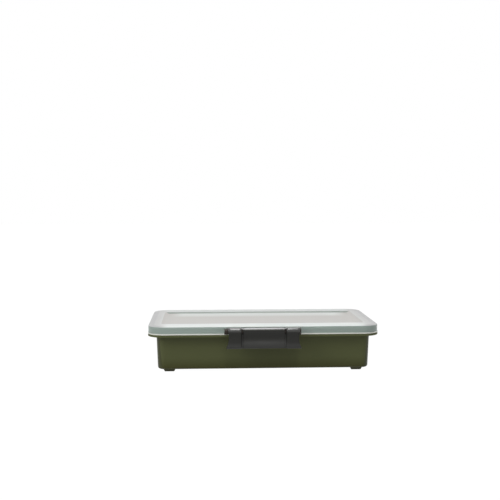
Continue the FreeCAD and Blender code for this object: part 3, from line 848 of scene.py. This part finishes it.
# %% [markdown]
# ## Latch, sleeve and pins
# The latch is nearly black. The sleeve under it is brown, and the hinge pins are drawn steel.

# %% Latch, sleeve and pin finishes
def latch_finish():
    material, shader, place = start_finish("latch plastic")
    from_middle = abs(axis(place, 0) + 0.0010)
    grip = from_middle.ramp(0.0196, 0.0200)
    rubbed = (axis(place, 2) + 0.0012 * grip).ramp(0.0402, 0.0414)
    stipple = noise(place, 0.00055, detail=2.0)
    base = stipple.blend(colour(0.014, 0.014, 0.012), colour(0.020, 0.020, 0.0175))
    # Painted light: the latch's lower part, where the front flares out and faces up, is painted lighter for the light
    # it catches from above.
    painted_flare_light = 1.0 - (axis(place, 2) + 0.0020 * grip).ramp(0.0290, 0.0330)
    base = painted_flare_light.blend(base, colour(0.034, 0.034, 0.032))
    rough = 0.24 + 0.10 * grip + 0.05 * stipple
    feed(shader, Base_Color=base, Roughness=rough, Normal=bump(stipple * (0.10 + 0.50 * grip), 0.00010, 0.5))
    feed(shader, Specular_IOR_Level=0.22, Coat_Weight=rubbed, Coat_Roughness=0.14)
    return material


def sleeve_finish():
    material, shader, place = start_finish("brown sleeve")
    grain = noise(place, 0.0008, detail=2.0)
    base = grain.blend(colour(0.020, 0.014, 0.010), colour(0.030, 0.021, 0.015))
    feed(shader, Base_Color=base, Roughness=0.38 + 0.08 * grain, Specular_IOR_Level=0.25)
    return material


def steel_finish():
    material, shader, place = start_finish("drawn steel")
    lines = noise(place, 0.0004, detail=3.0, squash=(0.04, 1.0, 1.0))
    base = lines.blend(colour(0.42, 0.42, 0.41), colour(0.56, 0.56, 0.55))
    feed(shader, Base_Color=base, Metallic=1.0, Roughness=0.28 + 0.14 * lines, Normal=bump(lines, 0.00002, 0.3))
    return material


finish_piece(latch_clip, latch_finish(), "latch")
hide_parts("latch")
dress("latch_sleeve", sleeve_finish())
steel = steel_finish()
for name in nodes:
    if name.startswith("hinge_pin_"):
        dress(name, steel)


# %% [markdown]
# ## Floor and light
# The box lies on a plain pale surface. The world lights it softly from all round, and one wide lamp
# above and in front gives the top edges their shine. What the camera, a reflection or a look through
# the lid sees of the floor and the world is white.

# %% Floor
FLOOR_SIZE = 8.0
FLOOR_WHITE = 0.96
FLOOR_Z = -0.00005


def seen_directly(wire):
    """1 on rays from the camera, a reflection or a look through, and 0 on rays that only light things."""
    found = 0.0
    for ray in ("Is Camera Ray", "Is Glossy Ray", "Is Transmission Ray"):
        found = wire.node("ShaderNodeLightPath", output=ray).at_least(found)
    return found


def floor_finish():
    material, shader, place = start_finish("pale floor")
    feed(shader, Base_Color=colour(0.60, 0.60, 0.60), Roughness=0.9, Specular_IOR_Level=0.0)
    glow = place.node("ShaderNodeEmission", None, {"Color": colour(1, 1, 1), "Strength": 1.05})
    matt = Wire(place.tree, shader.outputs[0])
    mixed = place.node("ShaderNodeMixShader", None, {0: seen_directly(place) * FLOOR_WHITE, 1: matt, 2: glow})
    place.tree.links.new(mixed.socket, place.tree.nodes["Material Output"].inputs["Surface"])
    return material


half = FLOOR_SIZE / 2
floor_mesh = bpy.data.meshes.new("floor")
corners = [(-half, -half, FLOOR_Z), (half, -half, FLOOR_Z), (half, half, FLOOR_Z), (-half, half, FLOOR_Z)]
floor_mesh.from_pydata(corners, [], [(0, 1, 2, 3)])
floor_mesh.materials.append(floor_finish())
floor = bpy.data.objects.new("floor", floor_mesh)
bpy.context.scene.collection.objects.link(floor)

# %% World and lamps
WORLD_LIGHT = 0.37

world = bpy.data.worlds.new("studio")
world.use_nodes = True
bpy.context.scene.world = world
sky = Wire(world.node_tree)
strength = WORLD_LIGHT + (1.0 - WORLD_LIGHT) * seen_directly(sky)
feed(world.node_tree.nodes["Background"], Color=colour(1, 1, 1), Strength=strength)


def add_lamp(name, place, target, size, power):
    """Rectangular area lamp at a place, turned to face a target."""
    data = bpy.data.lights.new(name, "AREA")
    data.shape = "RECTANGLE"
    data.size, data.size_y = size
    data.energy = power
    lamp = bpy.data.objects.new(name, data)
    lamp.location = place
    gaze = np.array(target) - np.array(place)
    lamp.rotation_euler = (math.atan2(math.hypot(gaze[0], gaze[1]), -gaze[2]), 0, math.atan2(-gaze[0], gaze[1]))
    bpy.context.scene.collection.objects.link(lamp)


add_lamp("key", (-0.50, -0.36, 0.36), (-0.03, 0, 0.02), (0.30, 0.30), 1.70)
add_lamp("strip", (0.06, -0.42, 1.1), (0.06, -0.419, 0.0), (0.18, 1.5), 8.5)
